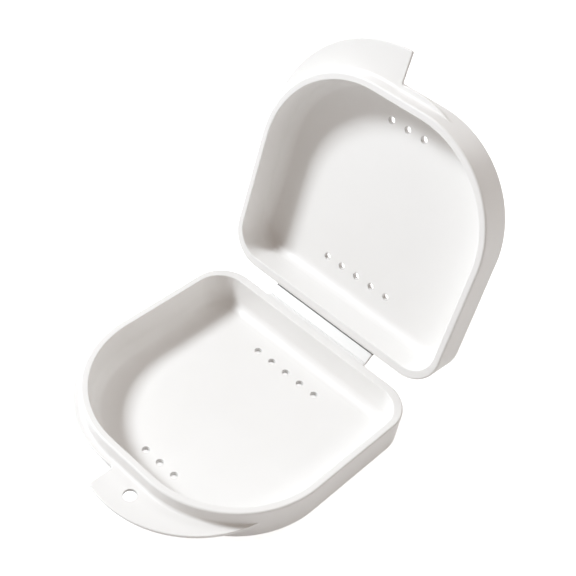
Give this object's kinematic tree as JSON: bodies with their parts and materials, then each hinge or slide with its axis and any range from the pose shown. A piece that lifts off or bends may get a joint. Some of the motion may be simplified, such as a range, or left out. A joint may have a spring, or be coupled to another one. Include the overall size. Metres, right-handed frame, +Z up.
{
  "type": "orthodontic retainer case",
  "caption": "Flat white plastic retainer case standing open: two dished D-shaped shells with vent holes and opening tabs, joined along the back by a thin folding hinge strap.",
  "frame": {"origin": "centre of the base shell's flat underside, on the surface that the case stands on", "axes": "+Z up, +X along the hinge, +Y towards the hinge at the back, so the tabs are at -Y"},
  "size_m": [0.0828, 0.116, 0.0983],
  "materials": {
    "shell_plastic": "satin white polypropylene",
    "strap_plastic": "satin white polypropylene, smooth where it folds"
  },
  "bodies": {
    "base": {"base_shell": "shell_plastic"},
    "strap": {"hinge_strap": "strap_plastic"},
    "lid": {"lid_shell": "shell_plastic"}
  },
  "joints": [
    {"name": "base_fold", "type": "hinge", "parent": "base", "child": "strap", "pos_m": [0, 0.0392, 0.01115], "axis": [1, 0, 0], "range_deg": [-38.5, 51.5]},
    {"name": "lid_fold", "type": "hinge", "parent": "strap", "child": "lid", "pos_m": [0, 0.04249, 0.01376], "axis": [1, 0, 0], "range_deg": [-38.5, 51.5]}
  ],
  "couplings": [
    {"joint": "base_fold", "follows": "lid_fold", "ratio": 1}
  ]
}
